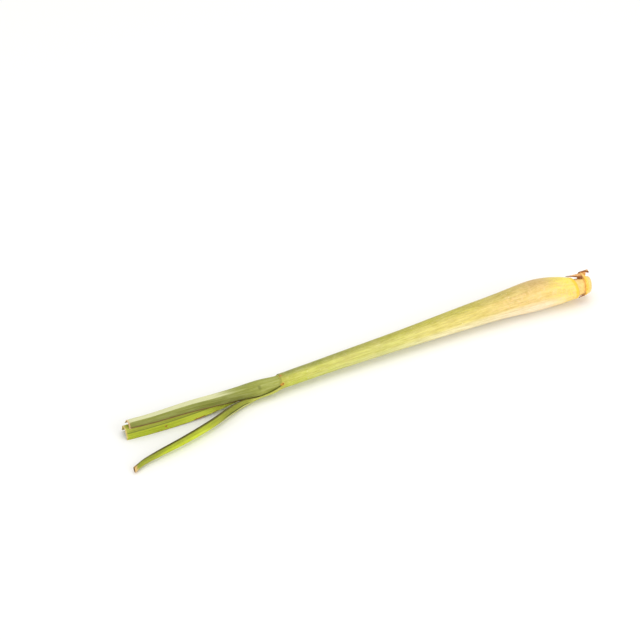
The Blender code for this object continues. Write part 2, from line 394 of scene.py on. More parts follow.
def new_group(name, takes, *gives):
    """Opens a new shared group of nodes, from its inputs' kinds and its outputs' names."""
    global tree
    tree = bpy.data.node_groups.new(name, "ShaderNodeTree")
    for label, kind in takes.items():
        tree.interface.new_socket(label, in_out="INPUT", socket_type="NodeSocket" + kind)
    for label in gives:
        tree.interface.new_socket(label, in_out="OUTPUT", socket_type="NodeSocketFloat")
    return tree, tree.nodes.new("NodeGroupInput").outputs, tree.nodes.new("NodeGroupOutput")


def use(group, **inputs):
    made = tree.nodes.new("ShaderNodeGroup")
    made.node_tree = group
    return fill(made, inputs).outputs


# Fibres: long soft streaks with fine veins between them, both running along the stalk.
sockets = {"Grain": "Vector", "Lengthwise": "Float", "Crosswise": "Float"}
fibres, takes, gives = new_group("fibres", sockets, "Streaks", "Veins", "Height")
long_grain = stretched(takes["Grain"], takes["Lengthwise"], takes["Crosswise"])
broad = between(noise(long_grain, 1.0, 4, 0.6), 0.3, 0.7)
veins = between(noise(long_grain, 4.3, 2, 0.5), 0.32, 0.68)
height = calc("ADD", times(veins, 0.6), times(broad, 0.4))
fill(gives, {"Streaks": broad, "Veins": veins, "Height": height})


def fibred(grain, lengthwise, crosswise):
    return use(fibres, Grain=grain, Lengthwise=lengthwise, Crosswise=crosswise)


# Mottling: cloudy patches, and a few small scattered specks.
sockets = {"Place": "Vector", "Size": "Float"}
mottling, takes, gives = new_group("mottling", sockets, "Patches", "Specks")
density = calc("DIVIDE", 1.0, takes["Size"])
clouds = noise(takes["Place"], density, 5.0, 0.6)
cells = node("TexVoronoi", {"Vector": takes["Place"], "Scale": times(density, 3.0)}).outputs
rare = calc("GREATER_THAN", node("SeparateColor", {0: cells["Color"]}).outputs[0], 0.72)
spots = fades(cells["Distance"], 0.05, 0.16)
fill(gives, {"Patches": between(clouds, 0.32, 0.68), "Specks": times(rare, spots)})


def apart(vector):
    """The three numbers of a vector."""
    return node("SeparateXYZ", {0: vector}).outputs


def kept(name):
    """What the mesh keeps for each corner under that name."""
    return node("Attribute", attribute_name=name).outputs["Vector"]


def skin(piece, name):
    """Gives a piece a new material and opens it, and gives out the grain and the place."""
    global tree
    made = bpy.data.materials.new(name)
    made.use_nodes = True
    piece.data.materials.append(made)
    tree = made.node_tree
    tree.nodes["Principled BSDF"].inputs["Specular IOR Level"].default_value = 0.22
    return kept("grain"), node("TexCoord").outputs["Object"]


def dress(colour, worn, roughness, height, strength, depth):
    """Sets the open skin: its colour, its roughness from the one value to the other as it is worn,
    and a fine relief of some strength and depth."""
    bumped = node("Bump", {"Strength": strength, "Distance": depth, "Height": height}).outputs[0]
    rough = between(worn, 0, 1, *roughness)
    surface = tree.nodes["Principled BSDF"]
    fill(surface, {"Base Color": colour, "Roughness": rough, "Normal": bumped})


grain, place = skin(stem_base, "stem_skin")
down, _, _ = apart(grain)
veined = fibred(grain, 60.0, 900.0)
spotted = use(mottling, Place=place, Size=0.0036)
flecked = noise(place, 700.0, 2.0)
flesh = coloured_along(
    down,
    (0.0006, 238, 192, 122),
    (0.0018, 244, 208, 132),
    (0.0034, 244, 206, 126),
    (0.0042, 248, 208, 76),
    (0.0056, 246, 198, 68),
    (0.0063, 232, 176, 84),
    (0.0068, 244, 204, 124),
    (0.0120, 242, 202, 132),
    reach=0.02,
)
# The sawn face shows the ends of its fibres as small brown dots.
sawn = fades(down, 0.0003, 0.0006)
ends = node("TexVoronoi", {"Vector": place, "Scale": 1500.0}).outputs["Distance"]
dots = times(fades(ends, 0.12, 0.3), sawn)
flesh = layered(
    flesh,
    (veined["Streaks"], 0.14, (232, 184, 112)),
    (spotted["Patches"], 0.26, (248, 214, 112)),
    (between(flecked, 0.50, 0.66), 0.4, (252, 226, 144)),
    (fades(flecked, 0.34, 0.50), 0.3, (226, 170, 92)),
    (dots, 0.6, (176, 112, 52)),
)
height = calc("ADD", veined["Height"], times(dots, 0.8))
dress(flesh, spotted["Patches"], (0.48, 0.68), height, 0.5, 0.00012)

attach(stem_base, "root")
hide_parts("stem_base")

# --- Root buds ---
# Small dry points on the ring scar where roots would have grown. One is shaped from a ball pressed
# flat, and copied round the ring with a step that is never quite even.
BUD_RADIUS = 0.00034
BUDS_OUT = 1.07 * STEM_RADIUS
BUD_TURNS = (24, 52, 71, 104, 130, 163, 190, 222, 246, 281, 309, 336)
ring_middle = axis_point(RING_AT)
bud_at = ring_middle + Vector((0, 0, BUDS_OUT))
clear()
bpy.ops.mesh.primitive_uv_sphere_add(segments=12, ring_count=8, radius=BUD_RADIUS, location=bud_at)
bpy.ops.object.transform_apply()
bud = edit("root_buds")
choose()
bpy.ops.transform.resize(value=(0.8, 1.5, 0.45), center_override=bud_at)
crown = max(corner.co.z for corner in bmesh.from_edit_mesh(bud.data).verts)
choose(lambda at: at.z > crown - SAME)
shift((0.00005, 0, -0.00007))
clear()
chance = random.Random(11)
copies = []
for turn in BUD_TURNS:
    copy = bud.copy()
    copy.data = bud.data.copy()
    bpy.context.scene.collection.objects.link(copy)
    pick(copy)
    edit()
    choose()
    bpy.ops.transform.rotate(value=math.radians(turn), orient_axis="X", center_override=ring_middle)
    corners = bmesh.from_edit_mesh(copy.data).verts
    side = sum(corner.co.y for corner in corners) / len(corners)
    lean = set_back(RING_AT) * (side - ring_middle.y)
    shift((lean + chance.uniform(-0.0003, 0.0002), 0, 0))
    clear()
    copies.append(copy)
pick(bud, *copies)
bpy.ops.object.join()
finish(bud)

_, place = skin(bud, "root_bud_skin")
spotted = use(mottling, Place=place, Size=0.0012)
dried = mix(spotted["Patches"], (250, 222, 118), (232, 184, 84))
dress(dried, spotted["Patches"], (0.6, 0.85), spotted["Patches"], 0.4, 0.00008)

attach(bud, "root")

# --- Torn husk ---
# What is left of an older leaf: a dry papery band round the stem base. One long flake of it lies
# back on the bulb's upper side, a small one clings underneath, and a cap has curled over the foot.
BULB_RADIUS = 0.0112
HUSK_AT, HUSK_WIDTH, HUSK_ROWS, HUSK_SIDES = 0.0064, 0.0004, 12, 96
HUSK_THICKNESS = 0.00035
HUSK_CLEAR = 0.0003  # how far it stands off what it lies on
ROOF_ANGLE, ROOF_SPREAD, ROOF_RADIUS = 132, 58, 0.0092
FLAKE_ANGLE, FLAKE_SPREAD, FLAKE_LENGTH, FLAKE_RAGGED = 145, 44, 0.0102, 0.0006
FLECK_ANGLE, FLECK_SPREAD, FLECK_LENGTH, FLECK_RAGGED = -49, 20, 0.0052, 0.0003
WAVES, WAVE_HEIGHT = 7, 0.00010
# The outer sheath's radius as a share of the bulb's, from the stem base to the collar.
SHEATH_RADII = (
    (0.0090, 0.600),
    (0.0155, 0.715),
    (0.0220, 0.830),
    (0.0300, 0.935),
    (0.0390, 0.995),
    (0.0450, 1.000),
    (0.0500, 0.985),
    (0.0570, 0.935),
    (0.0650, 0.878),
    (0.0730, 0.833),
    (0.0840, 0.790),
    (0.0960, 0.755),
    (0.1210, 0.675),
    (0.1510, 0.585),
    (0.1700, 0.548),
    (0.1890, 0.517),
    (0.2120, 0.479),
    (0.2370, 0.466),
    (0.2430, 0.473),
)


def sheath_radius(distance):
    return smooth(SHEATH_RADII, distance)[0] * BULB_RADIUS


def bump(angle, centre, half_width):
    """1 at the centre, falling smoothly to 0 at the half width, both round the stalk."""
    off = abs((angle - centre + 180) % 360 - 180) / half_width
    return (1 + math.cos(math.pi * off)) / 2 if off < 1 else 0.0


def lay_round(corner, distance, radius, angle):
    """Puts a corner at a radius and an angle, set back as the root end is."""
    middle = axis_point(distance)
    corner.co = middle + radius * outward(angle)
    corner.co.x += set_back(distance) * (corner.co.y - middle.y)


def thickened(thickness, **others):
    """The modifier that gives a sheet its thickness, half to each side."""
    return "SOLIDIFY", {"thickness": thickness, "offset": 0.0, "use_even_offset": True, **others}


husk_places = [(HUSK_AT + HUSK_WIDTH * i / HUSK_ROWS, STEM_RADIUS) for i in range(HUSK_ROWS + 1)]
husk = tube("husk", husk_places, HUSK_SIDES)
chance = random.Random(5)
tears = [chance.uniform(-1, 1) for _ in range(HUSK_SIDES)]
# Dry sheet tears along its fibres, so each line of corners along the stalk gets its own length.
sheet = bmesh.from_edit_mesh(husk.data)
torn = []
for corner in sheet.verts:
    distance, angle = around(corner.co)
    tear = tears[round(angle / 360 * HUSK_SIDES) % HUSK_SIDES]
    flake = bump(angle, FLAKE_ANGLE, FLAKE_SPREAD)
    fleck = bump(angle, FLECK_ANGLE, FLECK_SPREAD)
    start = HUSK_AT - tear * 0.0001
    end = HUSK_AT + HUSK_WIDTH + FLAKE_LENGTH * flake + FLECK_LENGTH * fleck
    end += tear * (0.00012 + FLAKE_RAGGED * flake + FLECK_RAGGED * fleck)
    place = start + (end - start) * (distance - HUSK_AT) / HUSK_WIDTH
    under = max(1.01 * STEM_RADIUS, sheath_radius(place) - 0.0001) + HUSK_CLEAR
    roof = max(0.0, ROOF_RADIUS - under) * bump(angle, ROOF_ANGLE, ROOF_SPREAD)
    wave = WAVE_HEIGHT * math.sin(math.radians(WAVES * angle)) * (0.3 + flake)
    lay_round(corner, place, under + roof + wave, angle)
    # For its skin: how far it is to the torn tip, and how much of a flake it is.
    torn.append((end - place, max(flake, fleck), 0))
bmesh.update_edit_mesh(husk.data)
round_grain(husk)
mark(husk, torn, "torn")

# The cap: a flat grid bent over the standing scale, from where it holds on the far side to a free
# edge on the near side, and narrowed to a point away from the foot.
CAP_FROM, CAP_TO, CAP_ROWS, CAP_LINES = 0.0078, 0.0012, 16, 18
CAP_TAPER, CAP_SKEW, CAP_RAGGED, CAP_DROP = 0.42, 0.0006, 0.0003, 0.0003
CAP_BEND = (  # share across, angle, radius
    (0.00, 88, 0.0068),
    (0.25, 104, 0.0084),
    (0.55, 126, 0.0102),
    (0.75, 141, 0.0104),
    (0.90, 152, 0.0097),
    (1.00, 161, 0.0087),
)
clear()
bpy.ops.mesh.primitive_grid_add(x_subdivisions=CAP_ROWS, y_subdivisions=CAP_LINES, size=1)
cap = edit("cap")
sheet = bmesh.from_edit_mesh(cap.data)
tears = [chance.uniform(-1, 1) for _ in range(CAP_LINES + 1)]
torn = []
for corner in sheet.verts:
    down, over = 0.5 - corner.co.x, corner.co.y + 0.5
    angle, radius = smooth(CAP_BEND, over * (1 - CAP_TAPER * down**1.5))
    place = CAP_TO + (CAP_FROM - CAP_TO) * down + CAP_SKEW * (1 - over) * down
    place += tears[round(over * CAP_LINES)] * (CAP_RAGGED - 0.0001 * down)
    lay_round(corner, place, radius - CAP_DROP * down, angle)
    torn.append((0.016 * (1 - over) + 0.0005, 0.9, 0))
bmesh.update_edit_mesh(cap.data)
round_grain(cap)
mark(cap, torn, "torn")
pick(husk, cap)
bpy.ops.object.join()
finish(husk, SOFTER, thickened(HUSK_THICKNESS))

# Dryness: 1 at an edge, dying away ragged over a width, further in along some fibres than others.
sockets = {"Depth": "Float", "Width": "Float", "Grain": "Vector"}
dryness, takes, gives = new_group("dryness", sockets, "Dry")
ragged = noise(stretched(takes["Grain"], 60.0, 1400.0), 1.0, 3, 0.6)
reach = times(takes["Width"], between(ragged, 0.3, 0.7, 0.35, 1.5))
share = calc("DIVIDE", takes["Depth"], reach)
fill(gives, {"Dry": fades(share, 0.45, 1.0)})


def dry(grain, depth, width):
    """The dryness at that depth behind an edge."""
    return use(dryness, Depth=depth, Width=width, Grain=grain)["Dry"]


def within(value, low, high, falls, gone, left=0.0):
    """0 below the low value, 1 from the high one until it falls, and then what is left."""
    return times(between(value, low, high), fades(value, falls, gone, left))


grain, place = skin(husk, "husk_skin")
to_tip, on_flake, _ = apart(kept("torn"))
veined = fibred(grain, 120.0, 1500.0)
spotted = use(mottling, Place=place, Size=0.003)
# The narrow band round the stem is golden. Torn edges and tips have dried darkest. The flanks of
# the flakes are dark brown, partly dried edge and partly painted shadow where they lie on the bulb,
# and the band is brown only in places.
on_band = fades(on_flake, 0.03, 0.15)
papery = layered(
    mix(veined["Streaks"], (224, 160, 92), (248, 200, 142)),
    (spotted["Patches"], 0.35, (232, 164, 66)),
    (on_band, 0.8, (240, 176, 76)),
)
flank_dry_and_shadow = within(on_flake, 0.10, 0.20, 0.50, 0.85)
dark = calc("MAXIMUM", dry(grain, to_tip, 0.0034), times(flank_dry_and_shadow, 0.85))
in_places = between(noise(place, 420.0, 1.0), 0.50, 0.64, 0.0, 0.8)
dark = times(dark, mix(on_band, (245, 245, 245), in_places))
papery = mix(dark, papery, mix(veined["Veins"], (100, 42, 12), (150, 80, 30)))
dress(papery, veined["Veins"], (0.62, 0.86), veined["Height"], 0.8, 0.0002)

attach(husk, "root")
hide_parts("husk")

# --- Outer leaf ---
# The living leaf that holds the stalk together. Its sheath is rolled round everything from a
# slanted base on the stem up to the collar, and there it opens into a blade folded along its keel.
GAP = 0.00035
THICKNESS = 0.0007
BLADE_THICKNESS = 0.00036
COLLAR_AT = 0.2430
THINS_AT, THINS_OVER = COLLAR_AT - 0.012, 0.010  # where the wall thins from the one to the other
SECOND_COLLAR_AT = 0.2590
OUTER_END = 0.3565
BASE_SLANT = 6
ON_CUT = 0.00003  # corners closer than this to the slanted cut belong to it
KEEL = -42  # where the outer leaf's midrib stands round the stalk, from straight below
SHEATH_SIDES = 60
LINE_TURN = 360 / SHEATH_SIDES  # from one line of corners along a sheath to the next
OUTER_LINES = (9, 17)  # lines of corners on the near and the far half of its blade
OUTER_FOLD = (0.278, 0.40)  # where its fold is full, and the crease's share of the half
OUTER_CURL = 0.012
SHEATH_STEP, BLADE_STEP = 0.0040, 0.0030
WELD = 0.00012
CREASE_WIDTH = 0.14  # as a share of the half blade
FOLDING = 0.0150  # length over which a rolled blade turns into a creased one
INLAND = 0.01  # how far from its margins a sheath counts as being
LEAF_SOFTER = ("SUBSURF", {**SOFTER[1], "boundary_smooth": "PRESERVE_CORNERS"})


def steps(start, end, step):
    count = round((end - start) / step)
    return [start + (end - start) * i / count for i in range(count + 1)]


def wrapped(distance, radius, keel, near, far, slope, turn):
    """A row of a blade where it still wraps the stalk, with its midrib at the keel. From there its
    halves slope down, and turn by so many degrees for each metre of their width."""
    _, y, z = axis_point(distance) + radius * outward(keel)
    return (distance, y, z, near, slope, slope + turn * near, far, -slope, -slope + turn * far)


def from_rim(distance, rim, keel, lines, slope, way):
    """The first row of a blade, whose corners meet those of the rim of its sheath."""
    chord = 2 * rim * math.sin(math.radians(LINE_TURN / 2))
    near, far = (count * chord for count in lines)
    return wrapped(distance, rim, keel, near, far, slope, way * LINE_TURN / chord)


def wing_slopes(lines, inner, outer, fold, crease):
    """The slope of each strip of one half of a blade, from the midrib outwards. It turns evenly in
    a roll (fold 0), or all in a crease part way across (fold 1)."""
    slopes = []
    for i in range(lines):
        t = (i + 0.5) / lines
        step = min(1.0, max(0.0, (t - crease) / CREASE_WIDTH + 0.5))
        step = step * step * (3 - 2 * step)
        slopes.append(inner + (outer - inner) * ((1 - fold) * t + fold * step))
    return slopes


def blade(name, rows, lines, folded, upright=False, curls=0.0):
    """A leaf blade from a flat grid. Each row of corners is moved to its place, its halves are
    drawn to their widths, and then it is folded down from the midrib strip by strip, as paper is.
    Over the length given as curls, its cut end loses the crease again and rolls up."""
    clear()
    folded_at, crease = folded
    distances = steps(rows[0][0], rows[-1][0], BLADE_STEP)
    midrib, across, last = lines[0], sum(lines), len(distances) - 1
    bpy.ops.mesh.primitive_grid_add(x_subdivisions=last, y_subdivisions=across, size=1)
    piece = edit(name)
    shape = bmesh.from_edit_mesh(piece.data)
    net = [[None] * (across + 1) for _ in distances]
    for corner in shape.verts:
        net[round((0.5 - corner.co.x) * last)][round((corner.co.y + 0.5) * across)] = corner
        corner.select = False
    shape.select_flush_mode()
    for distance, row in zip(distances, net):
        y, z, *halves = smooth(rows, distance)
        fold = min(1.0, max(0.0, 1 - (folded_at - distance) / FOLDING))
        if curls:
            fold = min(fold, (rows[-1][0] - distance) / curls)
        hold(row)
        shift(Vector((along(distance), y, z)) - row[midrib].co)
        for side, count in zip((-1, 1), lines):
            width, inner, outer = halves[:3] if side < 0 else halves[3:]
            half = [row[midrib + side * (i + 1)] for i in range(count)]
            hold(row, False)
            hold(half)
            wider = width * across / count
            bpy.ops.transform.resize(value=(1, wider, 1), center_override=(0, y, z))
            before = 0.0
            for i, slope in enumerate(wing_slopes(count, inner, outer, fold, crease)):
                pivot = row[midrib + side * i].co.copy()
                turn = math.radians(slope - before) * side
                bpy.ops.transform.rotate(value=turn, orient_axis="X", center_override=pivot)
                half[i].select = False
                before = slope
    if upright:
        choose()
        bpy.ops.mesh.flip_normals()
    bmesh.update_edit_mesh(piece.data)
    # The lay: the share of the way to the margin, then how far the margin and the cut end are.
    grain, lay = [], []
    widths = [smooth(rows, distance)[2::3] for distance in distances]
    number = {corner: (i, j) for i, row in enumerate(net) for j, corner in enumerate(row)}
    for corner in shape.verts:
        i, j = number[corner]
        line = j - midrib
        half = 0 if line < 0 else 1
        angle = math.radians(LINE_TURN * line)
        share = abs(line) / lines[half]
        grain.append((distances[i], ROUND * math.sin(angle), ROUND * math.cos(angle)))
        lay.append((share, widths[i][half] * (1 - share), rows[-1][0] - distances[i]))
    clear()
    mark(piece, grain)
    mark(piece, lay, "lay")
    return piece


def sheath_lay(piece, lines, end):
    """The lay of a sheath, which carries on the lay of the blade that grows from it."""
    lay = []
    for corner in piece.data.attributes["grain"].data:
        distance, sine, cosine = corner.vector
        line = math.degrees(math.atan2(sine, cosine)) / LINE_TURN
        lay.append((abs(line) / lines[0 if line < 0 else 1], INLAND, end - distance))
    mark(piece, lay, "lay")


def graft(sheath, grown):
    """Joins a blade to the rim of its sheath, welds the corners that meet there, and presses flat
    what would sink into the surface that the stalk lies on."""
    pick(sheath, grown)
    bpy.ops.object.join()
    edit()
    choose()
    bpy.ops.mesh.remove_doubles(threshold=WELD)
    choose(lambda at: at.z < 0)
    bpy.ops.transform.resize(value=(1, 1, 0), center_override=(0, 0, 0))
    clear()


sheath_steps = steps(SHEATH_RADII[0][0], COLLAR_AT, SHEATH_STEP)
sheath_places = [(d, sheath_radius(d) - THICKNESS / 2) for d in sheath_steps]
outer_leaf = tube("outer_leaf", sheath_places, SHEATH_SIDES)
# A swollen band stands just above its base, which is cut back to a slant.
slant = Vector((math.cos(math.radians(BASE_SLANT)), 0, math.sin(math.radians(BASE_SLANT))))
base = axis_point(SHEATH_FROM)
for back, out in ((0.0028, 1.0), (0.0020, 1.012), (0.0011, 1.015), (0.0004, 0.995), (0, 0.952)):
    cut_across(base - slant * back, slant, clear_outer=back == 0)
    choose(lambda at: abs((at - base).dot(slant) + back) < ON_CUT)
    draw_in(out, base)
round_grain(outer_leaf, KEEL)
sheath_lay(outer_leaf, OUTER_LINES, OUTER_END)

rim = sheath_radius(COLLAR_AT) - THICKNESS / 2
OVER_SECOND = GAP + THICKNESS / 2  # from the second leaf's surface to the middle of this one's wall
LOW_ROLL, HIGH_ROLL = 0.0055 + OVER_SECOND, 0.0058 + OVER_SECOND
ROLLED_TO = SECOND_COLLAR_AT + 0.0015
# Distance, y and z of the midrib, then the near and the far half's width, inner and outer slope.
OUTER_BLADE = (
    from_rim(COLLAR_AT, rim, KEEL, OUTER_LINES, KEEL, -1),
    wrapped(0.2490, LOW_ROLL, KEEL, 0.0046, 0.0085, KEEL, -math.degrees(1 / LOW_ROLL)),
    wrapped(ROLLED_TO, HIGH_ROLL, KEEL, 0.0036, 0.0080, KEEL, -math.degrees(1 / HIGH_ROLL)),
    (0.2705, 0.0050, 0.0009, 0.0070, -60, -102, 0.0045, -5, -22),
    (0.2760, 0.0034, 0.0008, 0.0084, -58, -102, 0.0048, -40, -60),
    (0.2830, 0.0011, 0.0006, 0.0098, -55, -100, 0.0068, -76, -82),
    (0.2990, -0.0049, 0.0005, 0.0097, -52, -98, 0.0072, -78, -88),
    (0.3190, -0.0104, 0.0005, 0.0086, -52, -97, 0.0066, -76, -90),
    (0.3390, -0.0143, 0.0004, 0.0069, -54, -97, 0.0056, -74, -94),
    (0.3500, -0.0167, 0.0004, 0.0060, -42, -118, 0.0054, -46, -124),
    (OUTER_END, -0.0197, 0.0003, 0.0056, -12, -158, 0.0054, -12, -168),
)
outer_blade = blade("outer_blade", OUTER_BLADE, OUTER_LINES, OUTER_FOLD, True, OUTER_CURL)
graft(outer_leaf, outer_blade)
thick = outer_leaf.vertex_groups.new(name="thick")
for corner in outer_leaf.data.vertices:
    left = 1 - (along(corner.co.x) - THINS_AT) / THINS_OVER
    thick.add([corner.index], min(1.0, max(0.0, left)), "REPLACE")
thin = BLADE_THICKNESS / THICKNESS
wall = thickened(THICKNESS, vertex_group="thick", thickness_vertex_group=thin)
finish(outer_leaf, LEAF_SOFTER, wall)

# The ligule: a short papery frill that stands up from inside the collar and lies on the next leaf.
LIGULE_SIDES = 72
LIGULE_RISE, LIGULE_THICKNESS = 0.0010, 0.00012
LIGULE_ROWS = ((-0.0012, 0.00446), (-0.0004, 0.00447), (0.0003, 0.00452), (LIGULE_RISE, 0.00456))
ligule = tube("ligule", [(COLLAR_AT + rise, wide) for rise, wide in LIGULE_ROWS], LIGULE_SIDES)
chance = random.Random(8)
tears = [chance.uniform(-1, 1) for _ in range(LIGULE_SIDES)]
frill = bmesh.from_edit_mesh(ligule.data)
for corner in frill.verts:
    distance, angle = around(corner.co)
    if distance > COLLAR_AT:
        tear = 0.00010 * tears[round(angle / 360 * LIGULE_SIDES) % LIGULE_SIDES]
        wave = 0.00025 * math.sin(math.radians(3 * angle))
        corner.co.x -= (distance - COLLAR_AT) / LIGULE_RISE * (tear + wave)
bmesh.update_edit_mesh(ligule.data)
round_grain(ligule, KEEL)
finish(ligule, thickened(LIGULE_THICKNESS))


def freckled(place, colour, *spots):
    """The colour with single ragged spots on it, from each one's middle, radius and colour."""
    for middle, size, spot in spots:
        off = vectors("DISTANCE", place, middle)["Value"]
        off = calc("ADD", off, between(noise(place, 900.0, 2.0), 0.3, 0.7, 0.0, 0.5 * size))
        colour = mix(between(off, 0.5 * size, size, 0.9, 0.0), colour, spot)
    return colour


grain, place = skin(ligule, "ligule_skin")
down, _, _ = apart(grain)
veined = fibred(grain, 200.0, 1800.0)
spotted = use(mottling, Place=place, Size=0.0025)
uneven = calc("SUBTRACT", down, times(veined["Veins"], 0.0004))
tipped = between(uneven, COLLAR_AT + 0.0003, COLLAR_AT + LIGULE_RISE)
frilled = layered(
    mix(veined["Streaks"], (170, 174, 74), (190, 192, 96)),
    (spotted["Patches"], 0.3, (196, 170, 84)),
    (tipped, spotted["Patches"], 0.5, (176, 130, 62)),
)
frilled = freckled(place, frilled, ((-0.0650, 0.0064, 0.0082), 0.0019, (226, 158, 60)))
dress(frilled, veined["Veins"], (0.6, 0.8), veined["Height"], 0.5, 0.0001)

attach(ligule, "root")

# Bloom: the thin whitish wax that lies on grass stems in broken streaks.
bloom, takes, gives = new_group("bloom", {"Grain": "Vector", "Cover": "Float"}, "Wax")
smears = noise(stretched(takes["Grain"], 55.0, 420.0), 1.0, 5, 0.65)
start = calc("SUBTRACT", 0.78, times(takes["Cover"], 0.45))
fill(gives, {"Wax": between(smears, start, calc("ADD", start, 0.22))})


def stripe(value, centre, full, gone):
    """1 where the value is as near to the centre as full, and 0 from gone outwards."""
    return fades(calc("ABSOLUTE", calc("SUBTRACT", value, centre)), full, gone)


grain, place = skin(outer_leaf, "sheath_skin")
down, across, inward = apart(grain)
share, to_margin, to_end = apart(kept("lay"))
veined = fibred(grain, 14.0, 420.0)
flecked = fibred(grain, 95.0, 1050.0)
spotted = use(mottling, Place=place, Size=0.009)
waxed = use(bloom, Grain=grain, Cover=0.5)["Wax"]
# Its colour along the stalk runs from straw on the bulb to green at the collar. Beside the keel, on
# the lower near side, it is creamy, partly its own colour and partly painted light from the floor
# and the front. On the far side from the keel it is darker and greener, partly its own colour and
# partly painted shade.
by_keel_and_lit = coloured_along(
    down,
    (0.018, 245, 215, 125),
    (0.040, 252, 240, 215),
    (0.110, 250, 242, 200),
    (0.170, 222, 226, 148),
    (0.238, 195, 208, 50),
    (0.265, 200, 208, 80),
    (0.280, 160, 168, 30),
)
on_side = coloured_along(
    down,
    (0.020, 242, 212, 105),
    (0.050, 234, 202, 120),
    (0.110, 225, 210, 110),
    (0.170, 210, 210, 105),
    (0.240, 200, 205, 75),
    (0.262, 150, 160, 42),
    (0.354, 124, 134, 36),
)
opposite_and_shaded = coloured_along(
    down,
    (0.018, 240, 230, 80),
    (0.040, 206, 174, 106),
    (0.075, 192, 178, 76),
    (0.110, 185, 180, 40),
    (0.238, 130, 140, 20),
    (0.262, 120, 130, 34),
)
away = fades(inward, -ROUND, ROUND)
# On the blade the half below the crease is lighter yellow-green in the middle of its length, partly
# its own fresh colour and partly painted light from the front and the floor.
fresh_and_lit = within(down, 0.288, 0.308, 0.326, 0.350, 0.1)
# Long streaks, short dabs along the fibres, cloudy patches and wax break the colour up.
long_tint = mix(between(down, 0.06, 0.14), (232, 178, 96), (176, 178, 60))
streaked = layered(
    by_keel_and_lit,
    (between(away, 0.0, 0.25), on_side),
    (between(away, 0.60, 1.0), opposite_and_shaded),
    (fresh_and_lit, fades(away, 0.25, 0.50, 0.15), (208, 226, 28)),
    (veined["Streaks"], between(down, 0.03, 0.12, 0.10, 0.13), long_tint),
)
shaded = mix(between(down, 0.02, 0.07), (238, 230, 206), (221, 214, 190))
shaded = mix(flecked["Streaks"], shaded, (255, 255, 255))
streaked = mix(1.0, streaked, shaded, "MULTIPLY")
pale = fades(down, 0.235, 0.270, 0.3)
# One margin of the rolled sheath overlaps the other on the far side, in a line that wanders a
# little.
wander = times(calc("SINE", times(down, 26.0)), 0.0009)
from_line = calc("SUBTRACT", across, calc("ADD", wander, 0.0026))
lapped = times(calc("LESS_THAN", inward, 0.0), fades(down, 0.246, 0.256))
step_up = times(between(from_line, -0.0001, 0.0001), lapped)
# On the bulb, where the sheath is youngest, small clear yellow dabs lie close together, and rosy
# ones a little further along.
dabs = between(noise(place, 900.0, 1.0, 0.5), 0.44, 0.70)
rosy = between(noise(place, 380.0, 3.0), 0.46, 0.62)
rosy = times(rosy, between(down, 0.050, 0.100, 0.32, 0.0))
streaked = layered(
    streaked,
    (flecked["Veins"], pale, 0.16, (254, 246, 206)),
    (spotted["Patches"], pale, 0.10, (252, 232, 170)),
    (waxed, pale, 0.18, (250, 246, 220)),
    (spotted["Specks"], pale, 0.45, (252, 250, 222)),
    (stripe(from_line, 0.0, 0.00008, 0.00030), lapped, 0.6, (128, 106, 44)),
    (dabs, between(down, 0.022, 0.044, 0.52, 0.0), (254, 234, 92)),
    (rosy, fades(away, 0.6, 0.95, 0.3), (250, 208, 158)),
)
# Along its upper margin the blade is darkened with painted shade, for the shaded gap between its
# halves. Beside the throat it has a second crease, darkened with painted shade, with a pale stripe
# under it that is partly a pale midrib and partly a painted highlight on the ridge, and above that
# crease the near half is darkened with painted shade. Past the throat the upper half is darkened
# with painted shade to a duller green, most of all towards the cut end.
on_blade = between(down, 0.262, 0.275)
near_half = calc("LESS_THAN", across, 0.0)
ragged_share = calc("ADD", share, times(flecked["Streaks"], 0.06))
margin_gap_shade = times(between(ragged_share, 0.92, 1.0), on_blade)
by_throat = times(within(down, 0.264, 0.270, 0.284, 0.294), near_half)
upper = times(between(share, 0.46, 0.58), by_throat)
upper_half_shade = times(between(ragged_share, 0.50, 0.80), between(down, 0.284, 0.300))
streaked = layered(
    streaked,
    (margin_gap_shade, between(down, 0.296, 0.312, 0.95, 0.72), (66, 72, 20)),
    (upper, 0.55, mix(flecked["Veins"], (84, 90, 8), (128, 136, 24))),
    (stripe(share, 0.47, 0.03, 0.09), by_throat, 0.95, (72, 78, 20)),
    (stripe(share, 0.31, 0.04, 0.11), by_throat, 0.7, (228, 226, 150)),
    (
        upper_half_shade,
        between(down, 0.300, 0.350, 0.45, 0.70),
        near_half,
        mix(flecked["Veins"], (104, 114, 26), (150, 162, 44)),
    ),
)
# The swollen base is orange-yellow, with a thin dried lip where it meets the stem.
depth = calc("SUBTRACT", base.dot(slant), vectors("DOT_PRODUCT", place, slant)["Value"])
band = calc("ADD", depth, times(flecked["Streaks"], 0.0005))
# The collar is a darker, yellower band. Rust has taken hold where the blade's near margin starts,
# round a small dark wound, and in a few flecks near it.
collar = within(down, 0.2380, 0.2405, 0.2440, 0.2460)
rust = use(mottling, Place=place, Size=0.0045)["Specks"]
streaked = layered(
    streaked,
    (fades(band, 0.0022, 0.0034), 0.85, (248, 198, 54)),
    (dry(grain, depth, 0.0004), 0.35, (214, 158, 60)),
    (collar, 0.30, (158, 150, 34)),
    (collar, rust, 0.5, (190, 112, 44)),
    (rust, 0.10, (190, 130, 60)),
)
streaked = freckled(
    place,
    streaked,
    ((-0.0641, 0.0060, 0.0084), 0.0021, (226, 158, 60)),
    ((-0.0638, 0.0060, 0.0085), 0.0009, (112, 40, 22)),
    ((-0.0660, 0.0062, 0.0060), 0.0012, (214, 160, 80)),
    ((-0.0639, 0.0105, 0.0122), 0.0016, (190, 116, 66)),
    ((-0.0800, 0.0063, 0.0036), 0.0012, (214, 178, 92)),
)
